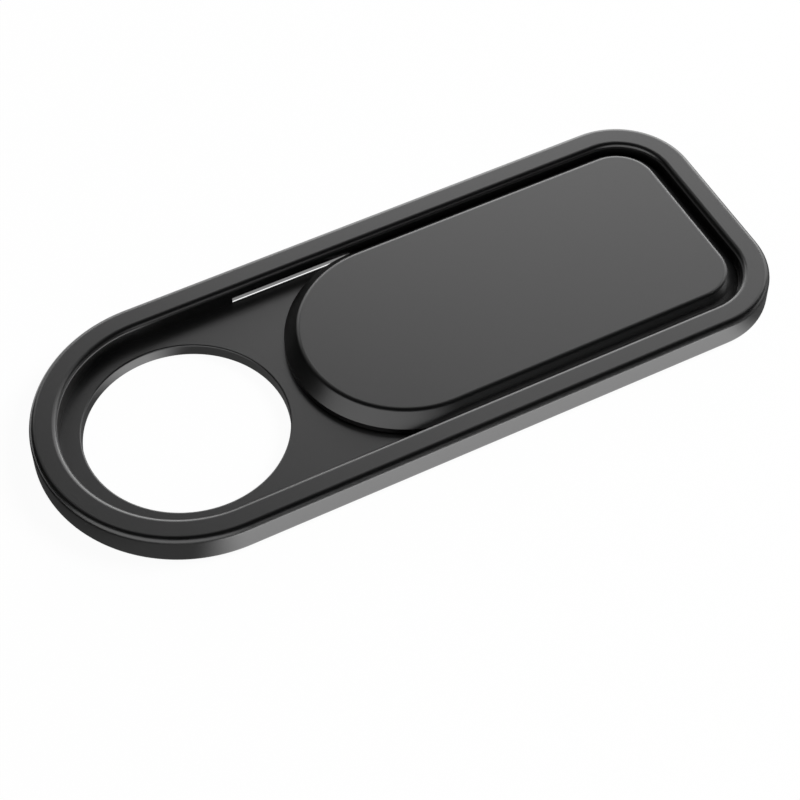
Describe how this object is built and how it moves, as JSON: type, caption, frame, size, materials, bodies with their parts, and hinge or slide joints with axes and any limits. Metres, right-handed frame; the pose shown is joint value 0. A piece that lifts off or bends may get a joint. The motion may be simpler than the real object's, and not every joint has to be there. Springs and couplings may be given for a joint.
{
  "type": "webcam cover slider",
  "caption": "Thin sliding camera cover: a black frame with a round lens opening, a bevelled cover that runs in guide channels to close it, and an adhesive underside.",
  "frame": {"origin": "middle of the underside, on the adhesive face", "axes": "+X from the lens end to the parking end along the length, +Y across the width, +Z away from the adhesive face"},
  "size_m": [0.033, 0.013, 0.0016],
  "materials": {
    "black_plastic": "fine satin, moulded black",
    "adhesive_tape": "dull, thin tacky tape"
  },
  "bodies": {
    "frame": {"frame": "black_plastic", "adhesive_pad": "adhesive_tape"},
    "cover": {"cover": "black_plastic"}
  },
  "joints": [
    {"name": "cover_slide", "type": "slide", "parent": "frame", "child": "cover", "axis": [-1, 0, 0], "range_m": [0, 0.0103]}
  ]
}
